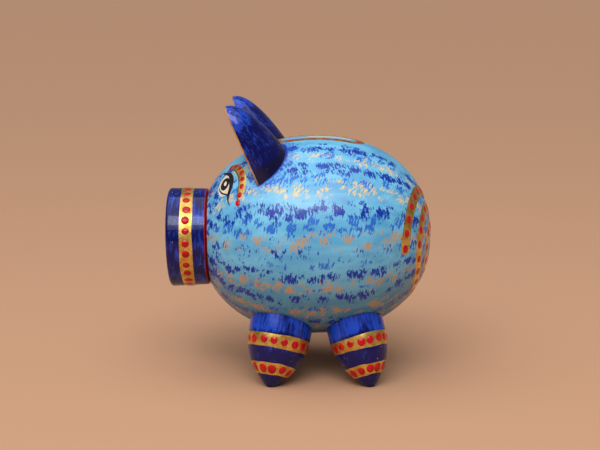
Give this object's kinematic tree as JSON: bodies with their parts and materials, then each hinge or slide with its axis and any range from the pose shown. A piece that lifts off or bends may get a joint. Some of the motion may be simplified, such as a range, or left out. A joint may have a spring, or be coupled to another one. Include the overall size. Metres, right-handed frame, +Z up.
{
  "type": "wooden money box",
  "caption": "Turned wooden pig money box: hollow oval body with a coin slot on its back, pull-out snout stopper, acorn-shaped feet and split-turned ears, hand-painted.",
  "frame": {"origin": "on the floor, under the middle of the box that holds the whole pig", "axes": "+X from snout to tail, +Y to the pig's right side, +Z up"},
  "size_m": [0.1562, 0.118, 0.1627],
  "materials": {
    "sky_blue_paint": "hand-painted with dabs, gloss varnish",
    "dark_blue_paint": "brushed paint, gloss varnish",
    "gold_paint": "gold paint, satin",
    "red_paint": "red paint dots, gloss",
    "black_paint": "black paint line, gloss",
    "white_paint": "white paint, gloss",
    "bare_wood": "bare, sanded"
  },
  "bodies": {
    "pig": {"body_shell": "sky_blue_paint", "leg_front_left": "dark_blue_paint", "leg_front_right": "dark_blue_paint", "leg_rear_left": "dark_blue_paint", "leg_rear_right": "dark_blue_paint", "ear_left": "dark_blue_paint", "ear_right": "dark_blue_paint", "leg_peg_front_left": "bare_wood", "leg_peg_front_right": "bare_wood", "leg_peg_rear_left": "bare_wood", "leg_peg_rear_right": "bare_wood", "ear_peg_left": "bare_wood", "ear_peg_right": "bare_wood"},
    "snout": {"snout_stopper": "dark_blue_paint"}
  },
  "joints": [
    {"name": "snout_pull", "type": "slide", "parent": "pig", "child": "snout", "axis": [-0.9997, 0, -0.0227], "range_m": [0, 0.04]}
  ]
}
